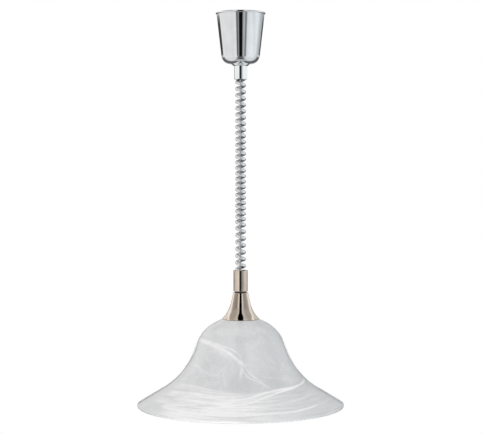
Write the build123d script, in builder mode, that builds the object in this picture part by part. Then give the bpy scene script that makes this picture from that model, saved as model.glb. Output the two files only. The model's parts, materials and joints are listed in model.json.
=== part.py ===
from build123d import *
import math
import os

# Rise-and-fall pendant lamp, in millimetres.
# The origin is the middle of the fitting on the ceiling, +Z is up and the lamp hangs down -Z.
# The front of the lamp faces -Y.

os.makedirs("parts", exist_ok=True)

# Clearances
running_gap = 0.05
loose_gap = 0.1
end_float = 0.1
soft_gap = 0.3

# Ceiling bracket and the bolt that hangs the reel under it
bracket_length = 78.0
bracket_width = 16.0
bracket_sheet = 2.0
bracket_drop = 6.0
bracket_middle = 26.0
bracket_ramp = 5.0
fixing_spacing = 60.0
fixing_hole_d = 4.5
bolt_d = 5.0
bolt_head_flats = 8.0
bolt_head_height = 3.5
bolt_nut_height = 4.0
bolt_spare_thread = 1.5

# Reel frame, bent from one strip, and its tongue for the terminal block
frame_height = 78.0
frame_sheet = 1.5
frame_bend = 3.0
frame_reach_left = 26.0
frame_reach_right = 13.0
frame_slot_length = 22.0
frame_slot_height = 9.0
frame_slot_above_floor = 14.0
tongue_width = 26.0
tongue_height = 40.0
tongue_window_width = 20.0
tongue_window_height = 7.5

# Spring drum, its axle and the rope on it
rope_d = 2.0
rope_lay_gap = 0.15
rope_turns = 3
rope_pitch = 2.5
drum_drop = 30.0
barrel_d = 30.0
barrel_wall = 2.0
rope_core_depth = 2.0
flange_d = 42.0
flange_thickness = 1.2
drum_width = 17.6
cover_thickness = 1.4
axle_d = 6.0
axle_end = 2.0
arbor_d = 9.0
washer_d = 12.0
washer_thickness = 1.0
clip_d = 11.0
clip_thickness = 0.8
clip_mouth = 4.4
spring_strip = 0.5
spring_width = 14.0
spring_half_turns = 10

# Outlet tube under the reel, with its guide bush, gland and screws
tube_d = 24.5
tube_wall = 1.4
tube_roof = 2.0
tube_length = 42.7
guide_bore_d = 2.8
guide_d = 4.4
guide_flange_d = 5.4
guide_flange_height = 1.2
gland_neck_d = 5.0
gland_rim = 0.35
gland_collar_length = 8.0
gland_nut_height = 3.0
tube_screw_d = 3.0
tube_screw_head_d = 5.2
tube_screw_head_height = 1.9

# Terminal block and the three cores that run to it
pole_pitch = 9.5
pole_width = 5.5
pole_height = 4.0
block_end = 2.0
block_depth = 10.0
block_height = 17.0
wire_hole_d = 2.8
wire_in_block = 6.5
clamp_screw_d = 3.2
clamp_screw_spread = 9.0
clamp_screw_sink = 1.2
clamp_slot_width = 0.6
clamp_slot_depth = 0.8
block_screw_d = 2.0
block_screw_head_d = 3.6
block_screw_head_height = 1.3
core_d = 2.2
core_spacing = 2.45
core_bend = 5.5

# Canopy cup and the collar that holds it up
cup_mouth_d = 92.6
cup_base_d = 70.4
cup_depth = 99.0
cup_corner = 17.0
cup_wall = 0.8
cup_bead = 2.2
collar_d = 36.0
collar_height = 4.2
collar_lip = 1.1
grub_d = 2.2

# Curly cord: its tube, its curls and how they are drawn out at the two ends
cord_d = 6.6
coil_d = 20.8
curl_count = 30
curl_below_tube = 11.5
curl_above_sleeve = 8.1
top_stretch = 2.4
top_stretch_turns = 16.0
bottom_stretch = 2.9
bottom_stretch_start = 23.0
bottom_stretch_ramp = 1.5
hidden_turns = 1.75
slope_step_turns = 0.01
tail_turns = 0.75
top_lead = 8.5
bottom_lead = 10.0
lower_exit_radius = 9.0

# Top sleeve with the rope anchor inside it
sleeve_drop = 496.5
sleeve_d = 27.6
sleeve_wall = 1.2
sleeve_length = 41.0
sleeve_floor = 2.0
sleeve_edge = 1.4
sleeve_lip = 0.5
anchor_depth = 17.2
anchor_disc = 5.0
anchor_boss_d = 12.8
anchor_boss_height = 6.0
anchor_rope_hole_d = 2.6
lower_gland_neck_d = 4.4
lower_gland_collar_d = 6.8
lower_gland_collar_length = 4.5
lower_gland_foot_d = 5.0
lower_gland_foot_height = 2.0
ferrule_d = 4.8
ferrule_length = 6.0
lower_core_d = 1.5
lower_core_spacing = 1.65
lower_core_bend = 3.6
lower_core_tail = 4.0

# Threaded nipple that joins the lamp's pieces
nipple_d = 10.0
nipple_bore_d = 7.0
nipple_in_holder = 10.0
nipple_window_width = 5.4
nipple_nut_flats = 14.0
nipple_nut_height = 3.0

# Spacer and flared cone cap
spacer_d = 23.2
spacer_height = 2.5
cap_top_d = 29.8
cap_wall = 1.0
cap_edge = 1.6
cap_cone_height = 23.0
cap_cone_angle = 12.8
cap_flare_radius = 53.7
cap_flare_turn = 34.2

# Lampholder
holder_below_cap = 13.5
holder_d = 38.0
holder_wall = 1.8
holder_neck_d = 15.6
holder_neck_height = 8.0
holder_shoulder = 5.0
holder_dome_height = 28.0
holder_dome_edge = 5.0
holder_skirt_height = 45.0
holder_mouth_d = 34.0
holder_mouth_depth = 7.0
insert_height = 8.0
insert_rib = 1.6
contact_strip = 0.5
contact_width = 6.0
contact_reach = 9.0
contact_drop = 4.0
shell_d = 28.2
shell_wall = 0.6
shell_length = 29.0

# Shade ring and gasket
ring_d = 59.0
ring_flange = 2.5
ring_collar_d = 45.0
ring_collar_height = 9.0
ring_notch_count = 18
ring_notch_d = 2.4
gasket_thickness = 0.8
gasket_inset = 0.8

# Glass bell shade
shade_d = 400.0
glass_wall = 4.2
shade_hole_d = 42.0
neck_flat_d = 72.0
neck_slope = 26.9
neck_edge = 3.0
shoulder_start_d = 99.3
shoulder_radius = 73.0
waist_slope = 68.8
waist_length = 19.4
flare_radius = 146.7
brim_slope = 31.0
rim_round = 2.0

# Lamp bulb
bulb_cap_d = 26.2
bulb_cap_wall = 0.4
bulb_cap_length = 21.5
bulb_contact_d = 9.4
bulb_contact_height = 1.9
bulb_insulator_height = 3.0
bulb_insulator_inset = 0.8
bulb_d = 60.0
bulb_glass = 0.8
bulb_neck_inset = 4.0
bulb_length = 102.0


def keep(piece, name):
    """Labels a finished piece and writes it to its own file."""
    piece.part.label = name
    export_step(piece.part, f"parts/{name}.step")


def lying_plane(centre, axial_offset=0.0):
    """A plane square to +Y, for what turns about the drum's axle."""
    return Plane(origin=centre + Vector(0, axial_offset, 0), x_dir=(1, 0, 0), z_dir=(0, 1, 0))


def biarc(start, start_dir, end, end_dir):
    """The point and direction where two tangent arcs from start to end meet."""
    span = end - start
    lean = start_dir + end_dir
    spread = 2 * (1 - start_dir.dot(end_dir))
    along = span.dot(lean)
    reach = (math.sqrt(along**2 + spread * span.dot(span)) - along) / spread
    first = start + start_dir * reach
    second = end - end_dir * reach
    return (first + second) * 0.5, (second - first).normalized()


def wind(stations):
    """Draws a pair of tangent arcs from each station, a point and a direction, to the next."""
    for (start, start_dir), (end, end_dir) in zip(stations, stations[1:]):
        joint, joint_dir = biarc(start, start_dir, end, end_dir)
        TangentArc(start, joint, tangent=start_dir)
        TangentArc(joint, end, tangent=joint_dir)


def report_winding(name, path, tube_d):
    """Prints a wound tube's length, its tightest arc and its least gap to itself."""
    wire = path.wire()
    radii = [edge.radius for edge in wire.edges() if edge.geom_type == GeomType.CIRCLE]
    steps = int(wire.length / (tube_d / 4))
    points = [wire.position_at(step / steps) for step in range(steps + 1)]
    spacing = wire.length / steps
    apart = int(3 * tube_d / spacing)
    least = min(
        (points[low] - points[high]).length
        for low in range(len(points))
        for high in range(low + apart, len(points))
    )
    print(f"{name}: length {wire.length:.1f}, radii {min(radii):.2f} to {max(radii):.2f}")
    print(f"{name}: least gap to itself {least - tube_d:.2f}")


# Levels of the ceiling fitting, from the ceiling down
bracket_floor_z = -(bracket_drop + bracket_sheet)
frame_top_z = bracket_floor_z
frame_bottom_z = frame_top_z - frame_height
frame_floor_z = frame_bottom_z + frame_sheet
tube_roof_z = frame_bottom_z - tube_roof
tube_mouth_z = frame_bottom_z - tube_length

# The rope leaves the drum on the lamp's own axis
barrel_r = barrel_d / 2
rope_core_r = barrel_r + rope_core_depth
rope_wind_r = rope_core_r + rope_lay_gap + rope_d / 2
drum_centre = Vector(-rope_wind_r, 0, frame_top_z - drum_drop)
drum_half = drum_width / 2 + flange_thickness
frame_clear = 2 * (drum_half + washer_thickness + 2 * end_float)
frame_half = frame_clear / 2 + frame_sheet

# Ceiling bracket: a strap with its middle set down, so that the bolt head clears the ceiling
with BuildPart() as ceiling_bracket:
    with BuildSketch(Plane.XZ):
        with BuildLine():
            Polyline(
                (-bracket_length / 2, 0),
                (-bracket_middle / 2 - bracket_ramp, 0),
                (-bracket_middle / 2, -bracket_drop),
                (bracket_middle / 2, -bracket_drop),
                (bracket_middle / 2 + bracket_ramp, 0),
                (bracket_length / 2, 0),
            )
            offset(amount=bracket_sheet, side=Side.RIGHT, kind=Kind.INTERSECTION)
        make_face()
    extrude(amount=bracket_width / 2, both=True)
    fillet(ceiling_bracket.edges().filter_by(Axis.Z), radius=bracket_width / 4)
    with Locations((0, 0, -bracket_drop)):
        Hole(radius=bolt_d / 2 + loose_gap)
    with Locations((-fixing_spacing / 2, 0, 0), (fixing_spacing / 2, 0, 0)):
        Hole(radius=fixing_hole_d / 2)
keep(ceiling_bracket, "ceiling_bracket")

bolt_head_flats_r = bolt_head_flats / 2
bolt_nut_z = frame_top_z - frame_sheet
bolt_end_z = bolt_nut_z - bolt_nut_height - bolt_spare_thread

with BuildPart() as suspension_bolt:
    with BuildSketch(Plane.XY.offset(-bracket_drop)):
        RegularPolygon(radius=bolt_head_flats_r, side_count=6, major_radius=False)
    extrude(amount=bolt_head_height)
    with BuildSketch(Plane.XY.offset(-bracket_drop)):
        Circle(bolt_d / 2)
    extrude(amount=bolt_end_z + bracket_drop)
keep(suspension_bolt, "suspension_bolt")

with BuildPart() as suspension_nut:
    with BuildSketch(Plane.XY.offset(bolt_nut_z)):
        RegularPolygon(radius=bolt_head_flats_r, side_count=6, major_radius=False)
        Circle(bolt_d / 2 + running_gap, mode=Mode.SUBTRACT)
    extrude(amount=-bolt_nut_height)
keep(suspension_nut, "suspension_nut")

# Where the gland and the screws stand on the tube's roof
coil_r = (coil_d - cord_d) / 2
gland_spot = (coil_r, 0)
tube_screw_radius = frame_clear / 2 - frame_bend + frame_sheet - tube_screw_head_d / 2 - soft_gap
tube_screw_spots = [(0, -tube_screw_radius), (0, tube_screw_radius)]

# Reel frame: a strip bent round the drum, with a tongue bent up beside it for the terminal block
frame_middle = Vector(-frame_reach_left, 0, (frame_top_z + frame_bottom_z) / 2)
tongue_x = frame_reach_right + frame_sheet
tongue_top_z = frame_bottom_z + tongue_height
core_run_z = frame_floor_z + gland_nut_height + core_bend + core_d
block_z = tongue_top_z - block_height / 2
block_screw_y = pole_pitch / 2
frame_slot_z = frame_floor_z + frame_slot_above_floor
with BuildPart() as reel_frame:
    with BuildSketch(Plane(frame_middle, x_dir=(0, 1, 0), z_dir=(1, 0, 0))):
        RectangleRounded(2 * frame_half, frame_height, frame_bend)
        RectangleRounded(
            frame_clear, frame_height - 2 * frame_sheet, frame_bend - frame_sheet, mode=Mode.SUBTRACT
        )
    extrude(amount=frame_reach_left + frame_reach_right)
    with BuildSketch(Plane.XZ):
        with BuildLine():
            Polyline(
                (frame_reach_right, frame_bottom_z),
                (tongue_x + frame_sheet, frame_bottom_z),
                (tongue_x + frame_sheet, tongue_top_z),
                (tongue_x, tongue_top_z),
                (tongue_x, frame_floor_z),
                (frame_reach_right, frame_floor_z),
                close=True,
            )
        make_face()
    extrude(amount=tongue_width / 2, both=True)
    with BuildSketch(lying_plane(drum_centre)):
        Circle(axle_d / 2 + running_gap)
    extrude(amount=frame_half, both=True, mode=Mode.SUBTRACT)
    with BuildSketch(lying_plane(Vector(drum_centre.X, 0, frame_slot_z))):
        SlotOverall(frame_slot_length, frame_slot_height)
    extrude(amount=frame_half, both=True, mode=Mode.SUBTRACT)
    with BuildSketch(Plane((tongue_x, 0, core_run_z), x_dir=(0, 1, 0), z_dir=(1, 0, 0))):
        RectangleRounded(tongue_window_width, tongue_window_height, tongue_window_height / 3)
        with Locations((block_screw_y, block_z - core_run_z)):
            Circle(block_screw_d / 2 + running_gap)
    extrude(amount=frame_sheet, mode=Mode.SUBTRACT)
    with BuildSketch(Plane.XY.offset(frame_top_z)):
        Circle(bolt_d / 2 + loose_gap)
    extrude(amount=-frame_sheet, mode=Mode.SUBTRACT)
    with BuildSketch(Plane.XY.offset(frame_bottom_z)):
        Circle(guide_d / 2 + running_gap)
        with Locations(gland_spot):
            Circle(gland_neck_d / 2 + running_gap)
        with Locations(*tube_screw_spots):
            Circle(tube_screw_d / 2 + loose_gap)
    extrude(amount=frame_sheet, mode=Mode.SUBTRACT)
keep(reel_frame, "reel_frame")

# Axle with the fatter arbor that the spring winds on, and the washers and clips at its ends
arbor_half = drum_width / 2 - 4 * end_float
clip_near = frame_half + end_float
axle_half = clip_near + clip_thickness + axle_end
with BuildPart() as reel_axle:
    with BuildSketch(lying_plane(drum_centre)):
        Circle(axle_d / 2)
    extrude(amount=axle_half, both=True)
    with BuildSketch(lying_plane(drum_centre)):
        Circle(arbor_d / 2)
    extrude(amount=arbor_half, both=True)
    chamfer(reel_axle.edges().group_by(Axis.Y)[0], length=axle_d / 10)
    chamfer(reel_axle.edges().group_by(Axis.Y)[-1], length=axle_d / 10)
keep(reel_axle, "reel_axle")

with BuildPart() as drum_washers:
    for near in (drum_half + end_float, -drum_half - end_float - washer_thickness):
        with BuildSketch(lying_plane(drum_centre, near)):
            Circle(washer_d / 2)
            Circle(axle_d / 2 + running_gap, mode=Mode.SUBTRACT)
        extrude(amount=washer_thickness)
keep(drum_washers, "drum_washers")

with BuildPart() as axle_clips:
    for near in (clip_near, -clip_near - clip_thickness):
        with BuildSketch(lying_plane(drum_centre, near)):
            Circle(clip_d / 2)
            Circle(axle_d / 2 + running_gap, mode=Mode.SUBTRACT)
            with Locations((0, clip_d / 2)):
                Rectangle(clip_mouth, clip_d, mode=Mode.SUBTRACT)
        extrude(amount=clip_thickness)
keep(axle_clips, "axle_clips")

# Spring drum: a cup with two flanges, closed by a press-in cover
drum_axis = Axis(drum_centre, (0, 1, 0))
drum_bore_r = axle_d / 2 + running_gap
cavity_r = barrel_r - barrel_wall
drum_section = Plane(drum_centre, x_dir=(1, 0, 0), z_dir=(0, 0, 1))
with BuildPart() as spring_drum:
    with BuildSketch(drum_section):
        with BuildLine():
            Polyline(
                (drum_bore_r, -drum_half),
                (flange_d / 2, -drum_half),
                (flange_d / 2, -drum_width / 2),
                (barrel_r, -drum_width / 2),
                (barrel_r, drum_width / 2),
                (flange_d / 2, drum_width / 2),
                (flange_d / 2, drum_half),
                (cavity_r, drum_half),
                (cavity_r, -drum_width / 2),
                (drum_bore_r, -drum_width / 2),
                close=True,
            )
        make_face()
    revolve(axis=drum_axis)
keep(spring_drum, "spring_drum")

with BuildPart() as drum_cover:
    with BuildSketch(lying_plane(drum_centre, drum_half - cover_thickness)):
        Circle(cavity_r - running_gap)
        Circle(drum_bore_r, mode=Mode.SUBTRACT)
    extrude(amount=cover_thickness)
keep(drum_cover, "drum_cover")

# Clock spring: half circles about two centres, each wider than the last
spring_outer_r = cavity_r - spring_strip / 2 - loose_gap
spring_inner_r = arbor_d / 2 + spring_strip / 2 + soft_gap
spring_step = (spring_outer_r - spring_inner_r) / spring_half_turns
spring_first_r = spring_inner_r + spring_step / 2
with BuildPart() as clock_spring:
    with BuildSketch(lying_plane(drum_centre)):
        with BuildLine():
            for half_turn in range(spring_half_turns):
                aside = spring_step / 2 if half_turn % 2 else -spring_step / 2
                start_angle = 180 * (half_turn % 2)
                CenterArc((aside, 0), spring_first_r + spring_step * half_turn, start_angle, 180)
            offset(amount=spring_strip / 2, side=Side.BOTH)
        make_face()
    extrude(amount=spring_width / 2, both=True)
keep(clock_spring, "clock_spring")

# Rope on the drum: the outer layer winds over a plain core and leaves straight down the lamp's axis
rope_r = rope_d / 2
rope_stations = []
for quarter in range(-4 * rope_turns, 1):
    angle = math.pi / 2 * quarter
    out = Vector(math.cos(angle), 0, -math.sin(angle))
    onward = Vector(-math.sin(angle), 0, -math.cos(angle))
    creep = 0 if quarter in (-4 * rope_turns, 0) else rope_pitch / (2 * math.pi)
    spot = drum_centre + out * rope_wind_r + Vector(0, rope_pitch * quarter / 4, 0)
    heading = onward * rope_wind_r + Vector(0, creep, 0)
    rope_stations.append((spot, heading.normalized()))
with BuildPart() as rope_winding:
    with BuildLine() as rope_path:
        first_spot, first_dir = rope_stations[0]
        last_spot, last_dir = rope_stations[-1]
        Line(first_spot - first_dir * rope_d, first_spot)
        wind(rope_stations)
        Line(last_spot, last_spot + last_dir * rope_d)
    with BuildSketch(Plane(rope_path.line @ 0, z_dir=rope_path.line % 0)):
        Circle(rope_r)
    sweep(path=rope_path.wire())
    with BuildSketch(lying_plane(drum_centre)):
        Circle(rope_core_r)
        Circle(barrel_r + running_gap, mode=Mode.SUBTRACT)
    extrude(amount=drum_width / 2 - end_float, both=True)
keep(rope_winding, "rope_winding")
report_winding("rope_winding", rope_path, rope_d)

# Outlet tube: closed at the top, where it is screwed up under the reel frame
tube_r = tube_d / 2
with BuildPart() as outlet_tube:
    with BuildSketch(Plane.XY.offset(tube_mouth_z)):
        Circle(tube_r)
    extrude(amount=tube_length)
    with BuildSketch(Plane.XY.offset(tube_mouth_z)):
        Circle(tube_r - tube_wall)
    extrude(amount=tube_length - tube_roof, mode=Mode.SUBTRACT)
    with BuildSketch(Plane.XY.offset(tube_roof_z)):
        Circle(guide_d / 2 + running_gap)
        with Locations(gland_spot):
            Circle(gland_neck_d / 2 + running_gap)
        with Locations(*tube_screw_spots):
            Circle(tube_screw_d / 2 + running_gap)
    extrude(amount=tube_roof, mode=Mode.SUBTRACT)
    fillet(outlet_tube.edges().group_by(Axis.Z)[0], radius=tube_wall / 3)
keep(outlet_tube, "outlet_tube")

with BuildPart() as tube_screws:
    with BuildSketch(Plane.XY.offset(frame_floor_z)):
        with Locations(*tube_screw_spots):
            Circle(tube_screw_head_d / 2)
    extrude(amount=tube_screw_head_height)
    with BuildSketch(Plane.XY.offset(frame_floor_z)):
        with Locations(*tube_screw_spots):
            Circle(tube_screw_d / 2)
    extrude(amount=-frame_sheet - tube_roof)
keep(tube_screws, "tube_screws")

with BuildPart() as rope_guide:
    with BuildSketch(Plane.XY.offset(tube_roof_z)):
        Circle(guide_d / 2)
    extrude(amount=tube_roof + frame_sheet)
    with BuildSketch(Plane.XY.offset(frame_floor_z)):
        Circle(guide_flange_d / 2)
    extrude(amount=guide_flange_height)
    fillet(rope_guide.edges().group_by(Axis.Z)[-1], radius=guide_flange_height / 3)
    with Locations((0, 0, frame_floor_z + guide_flange_height)):
        Hole(radius=guide_bore_d / 2)
keep(rope_guide, "rope_guide")

# Upper cord gland: a collar under the roof, a neck through it and a nut above
gland_r = cord_d / 2 + gland_rim
gland_bottom_z = tube_roof_z - gland_collar_length
gland_top_z = frame_floor_z + gland_nut_height
gland_axis = Vector(*gland_spot)
with BuildPart() as upper_cord_gland:
    with BuildSketch(Plane(gland_axis + Vector(0, 0, gland_bottom_z))):
        Circle(gland_r)
    extrude(amount=gland_collar_length)
    with BuildSketch(Plane(gland_axis + Vector(0, 0, tube_roof_z))):
        Circle(gland_neck_d / 2)
    extrude(amount=tube_roof + frame_sheet)
    with BuildSketch(Plane(gland_axis + Vector(0, 0, frame_floor_z))):
        RegularPolygon(radius=gland_r, side_count=6)
    extrude(amount=gland_nut_height)
keep(upper_cord_gland, "upper_cord_gland")

# Terminal block on the tongue: three poles, each with a wire hole along Z and two clamp screws
block_x = tongue_x + frame_sheet
block_face_x = block_x + block_depth
pole_face_x = block_face_x + pole_height
block_floor_z = block_z - block_height / 2
block_length = 2 * pole_pitch + pole_width + 2 * block_end
wire_x = block_face_x
pole_spots = [(-pole_pitch, 0), (0, 0), (pole_pitch, 0)]
clamp_half = clamp_screw_spread / 2
clamp_spots = [(side, up) for side, _ in pole_spots for up in (-clamp_half, clamp_half)]
clamp_screw_length = pole_height - clamp_screw_sink - core_d / 2 - loose_gap
block_back = Plane((block_x, 0, block_z), x_dir=(0, 1, 0), z_dir=(1, 0, 0))
pole_face = Plane((pole_face_x, 0, block_z), x_dir=(0, 1, 0), z_dir=(1, 0, 0))
with BuildPart() as terminal_block:
    with BuildSketch(block_back):
        Rectangle(block_length, block_height)
    extrude(amount=block_depth)
    with BuildSketch(block_back.offset(block_depth)):
        with Locations(*pole_spots):
            RectangleRounded(pole_width, block_height, pole_width / 5)
    extrude(amount=pole_height)
    with BuildSketch(Plane.XY.offset(block_floor_z)):
        with Locations((wire_x, -pole_pitch), (wire_x, 0), (wire_x, pole_pitch)):
            Circle(wire_hole_d / 2)
    extrude(amount=block_height, mode=Mode.SUBTRACT)
    with BuildSketch(pole_face):
        with Locations(*clamp_spots):
            Circle(clamp_screw_d / 2 + running_gap)
    extrude(amount=-clamp_screw_sink - clamp_screw_length, mode=Mode.SUBTRACT)
    with BuildSketch(block_back):
        with Locations((block_screw_y, 0)):
            Circle(block_screw_d / 2 + loose_gap)
    extrude(amount=block_depth, mode=Mode.SUBTRACT)
keep(terminal_block, "terminal_block")

with BuildPart() as terminal_screws:
    with BuildSketch(pole_face.offset(-clamp_screw_sink)):
        with Locations(*clamp_spots):
            Circle(clamp_screw_d / 2)
    extrude(amount=-clamp_screw_length)
    with BuildSketch(pole_face.offset(-clamp_screw_sink)):
        with Locations(*clamp_spots):
            Rectangle(clamp_screw_d, clamp_slot_width)
    extrude(amount=-clamp_slot_depth, mode=Mode.SUBTRACT)
keep(terminal_screws, "terminal_screws")

block_screw_plane = Plane((block_face_x, block_screw_y, block_z), x_dir=(0, 1, 0), z_dir=(1, 0, 0))
with BuildPart() as block_screw:
    with BuildSketch(block_screw_plane):
        Circle(block_screw_head_d / 2)
    extrude(amount=block_screw_head_height)
    with BuildSketch(block_screw_plane):
        Circle(block_screw_d / 2)
    extrude(amount=-block_depth - frame_sheet)
keep(block_screw, "block_screw")

# Three cores, side by side out of the gland, through the tongue's window and up into the block
wire_end_z = block_floor_z + wire_in_block
for place, core_name in ((-1, "live_core"), (0, "earth_core"), (1, "neutral_core")):
    gland_y = place * core_spacing
    pole_y = place * pole_pitch
    with BuildPart() as core:
        with BuildLine() as core_path:
            FilletPolyline(
                (coil_r, gland_y, gland_top_z),
                (coil_r, gland_y, core_run_z),
                (wire_x, pole_y, core_run_z),
                (wire_x, pole_y, wire_end_z),
                radius=core_bend,
            )
        with BuildSketch(Plane(core_path.line @ 0, z_dir=core_path.line % 0)):
            Circle(core_d / 2)
        sweep(path=core_path.wire())
    keep(core, core_name)

# Canopy cup: a spun shell with a rolled bead at its mouth
cup_mouth_r = cup_mouth_d / 2
cup_hole_r = tube_r + soft_gap
with BuildPart() as canopy_cup:
    with BuildSketch(Plane.XZ):
        with BuildLine():
            FilletPolyline(
                (cup_mouth_r, -cup_bead),
                (cup_base_d / 2, -cup_depth),
                (cup_hole_r, -cup_depth),
                radius=cup_corner,
            )
            offset(amount=cup_wall, side=Side.RIGHT)
        make_face()
        with Locations((cup_mouth_r - cup_wall / 2, -cup_bead)):
            Circle(cup_bead)
    revolve(axis=Axis.Z)
keep(canopy_cup, "canopy_cup")

# Collar under the cup, hollow-sided, clamped to the tube by a grub screw at the back
collar_top_z = -cup_depth
collar_foot_z = collar_top_z - collar_height
collar_bore_r = tube_r + loose_gap
collar_foot_r = collar_bore_r + collar_lip
grub_z = collar_top_z - collar_height / 2
grub_plane = Plane((0, collar_bore_r, grub_z), x_dir=(1, 0, 0), z_dir=(0, 1, 0))
with BuildPart() as canopy_collar:
    with BuildSketch(Plane.XZ):
        with BuildLine():
            Polyline(
                (collar_foot_r, collar_foot_z),
                (collar_bore_r, collar_foot_z),
                (collar_bore_r, collar_top_z),
                (collar_d / 2, collar_top_z),
            )
            RadiusArc((collar_d / 2, collar_top_z), (collar_foot_r, collar_foot_z), collar_d / 2)
        make_face()
    revolve(axis=Axis.Z)
    with BuildSketch(grub_plane):
        Circle(grub_d / 2 + running_gap)
    extrude(amount=collar_d / 2 - collar_bore_r, mode=Mode.SUBTRACT)
keep(canopy_collar, "canopy_collar")

with BuildPart() as collar_grub_screw:
    with BuildSketch(grub_plane):
        Circle(grub_d / 2)
    extrude(amount=grub_d)
keep(collar_grub_screw, "collar_grub_screw")

# Curly cord: curls counted from the first one that shows, on its +X side, drawn out at both ends
sleeve_top_z = -sleeve_drop
anchor_top_z = sleeve_top_z - anchor_depth
lower_gland_top_z = anchor_top_z + lower_gland_collar_length
first_curl_z = tube_mouth_z - curl_below_tube
last_curl_z = sleeve_top_z + curl_above_sleeve


def top_extra(turn):
    """Length that the upper curls add, which fades out over the first turns."""
    turn = min(turn, top_stretch_turns)
    faded = max(turn, 0) ** 2 / (2 * top_stretch_turns)
    return top_stretch * (turn - faded)


def bottom_extra(turn):
    """Length that the lower curls add, which sets in over a short ramp."""
    past = max(turn - bottom_stretch_start, 0)
    ramp = min(past, bottom_stretch_ramp)
    return bottom_stretch * (ramp**2 / (2 * bottom_stretch_ramp) + past - ramp)


curl_extra = top_extra(curl_count) + bottom_extra(curl_count)
curl_pitch = (first_curl_z - last_curl_z - curl_extra) / curl_count


def curl_level(turn):
    """Height of the cord's middle line after a number of turns."""
    return first_curl_z - curl_pitch * turn - top_extra(turn) - bottom_extra(turn)


def curl_station(turn):
    """Point and downward direction of the cord's middle line after a number of turns."""
    angle = 2 * math.pi * turn
    drop = curl_level(turn + slope_step_turns) - curl_level(turn - slope_step_turns)
    fall = drop / (4 * math.pi * slope_step_turns)
    spot = Vector(coil_r * math.cos(angle), coil_r * math.sin(angle), curl_level(turn))
    heading = Vector(-coil_r * math.sin(angle), coil_r * math.cos(angle), fall)
    return spot, heading.normalized()


down = Vector(0, 0, -1)
curl_quarters = round(4 * (hidden_turns + curl_count + tail_turns))
curl_stations = [curl_station(quarter / 4 - hidden_turns) for quarter in range(curl_quarters + 1)]
cord_top = gland_axis + Vector(0, 0, curl_stations[0][0].Z + top_lead)
cord_tail = Vector(lower_exit_radius, 0, curl_stations[-1][0].Z - bottom_lead)
cord_stations = [(cord_top, down)] + curl_stations + [(cord_tail, down)]
with BuildPart() as curly_cord:
    with BuildLine() as cord_path:
        Line((cord_top.X, cord_top.Y, gland_bottom_z), cord_top)
        wind(cord_stations)
        Line(cord_tail, (cord_tail.X, cord_tail.Y, lower_gland_top_z))
    with BuildSketch(Plane(cord_path.line @ 0, z_dir=down)):
        Circle(cord_d / 2)
    sweep(path=cord_path.wire())
keep(curly_cord, "curly_cord")
report_winding("curly_cord", cord_path, cord_d)

# Pull rope: straight down the axis from the drum to the ferrule under the anchor
anchor_floor_z = anchor_top_z - anchor_disc
ferrule_foot_z = anchor_floor_z - ferrule_length
rope_top_z = drum_centre.Z - rope_d
with BuildPart() as pull_rope:
    with BuildSketch(Plane.XY.offset(ferrule_foot_z)):
        Circle(rope_r)
    extrude(amount=rope_top_z - ferrule_foot_z)
keep(pull_rope, "pull_rope")

# Top sleeve: a drawn cup, open upwards, standing on the spacer
sleeve_r = sleeve_d / 2
sleeve_bottom_z = sleeve_top_z - sleeve_length
sleeve_floor_z = sleeve_bottom_z + sleeve_floor
nipple_r = nipple_d / 2
nipple_hole_r = nipple_r + running_gap
with BuildPart() as top_sleeve:
    with BuildSketch(Plane.XY.offset(sleeve_bottom_z)):
        Circle(sleeve_r)
    extrude(amount=sleeve_length)
    fillet(top_sleeve.edges().group_by(Axis.Z)[0], radius=sleeve_edge)
    with BuildSketch(Plane.XY.offset(sleeve_floor_z)):
        Circle(sleeve_r - sleeve_wall)
    extrude(amount=sleeve_length - sleeve_floor, mode=Mode.SUBTRACT)
    fillet(top_sleeve.edges().group_by(Axis.Z)[-1], radius=min(sleeve_lip, 0.45 * sleeve_wall))
    with Locations((0, 0, sleeve_top_z)):
        Hole(radius=nipple_hole_r)
keep(top_sleeve, "top_sleeve")

# Rope anchor: a disc across the sleeve with a threaded boss, carrying the rope and the cord
lower_gland_spot = (lower_exit_radius, 0)
lower_gland_axis = Vector(*lower_gland_spot)
anchor_r = sleeve_r - sleeve_wall - loose_gap
boss_foot_z = anchor_floor_z - anchor_boss_height
with BuildPart() as rope_anchor:
    with BuildSketch(Plane.XY.offset(anchor_floor_z)):
        Circle(anchor_r)
        Circle(anchor_rope_hole_d / 2, mode=Mode.SUBTRACT)
        with Locations(lower_gland_spot):
            Circle(lower_gland_neck_d / 2 + running_gap, mode=Mode.SUBTRACT)
    extrude(amount=anchor_disc)
    with BuildSketch(Plane.XY.offset(boss_foot_z)):
        Circle(anchor_boss_d / 2)
        Circle(nipple_hole_r, mode=Mode.SUBTRACT)
    extrude(amount=anchor_boss_height)
keep(rope_anchor, "rope_anchor")

with BuildPart() as rope_ferrule:
    with BuildSketch(Plane.XY.offset(ferrule_foot_z)):
        Circle(ferrule_d / 2)
        Circle(rope_r + running_gap, mode=Mode.SUBTRACT)
    extrude(amount=ferrule_length)
keep(rope_ferrule, "rope_ferrule")

# Lower cord gland: a collar on the anchor, a neck through it and a foot below
lower_gland_foot_z = anchor_floor_z - lower_gland_foot_height
with BuildPart() as lower_cord_gland:
    with BuildSketch(Plane(lower_gland_axis + Vector(0, 0, anchor_top_z))):
        Circle(lower_gland_collar_d / 2)
    extrude(amount=lower_gland_collar_length)
    with BuildSketch(Plane(lower_gland_axis + Vector(0, 0, anchor_floor_z))):
        Circle(lower_gland_neck_d / 2)
    extrude(amount=anchor_disc)
    with BuildSketch(Plane(lower_gland_axis + Vector(0, 0, lower_gland_foot_z))):
        Circle(lower_gland_foot_d / 2)
    extrude(amount=lower_gland_foot_height)
keep(lower_cord_gland, "lower_cord_gland")

# Levels of the lamp, from the sleeve down
spacer_foot_z = sleeve_bottom_z - spacer_height
cap_roof_z = spacer_foot_z - cap_wall
holder_top_z = spacer_foot_z - holder_below_cap
nipple_foot_z = holder_top_z - nipple_in_holder

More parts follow.
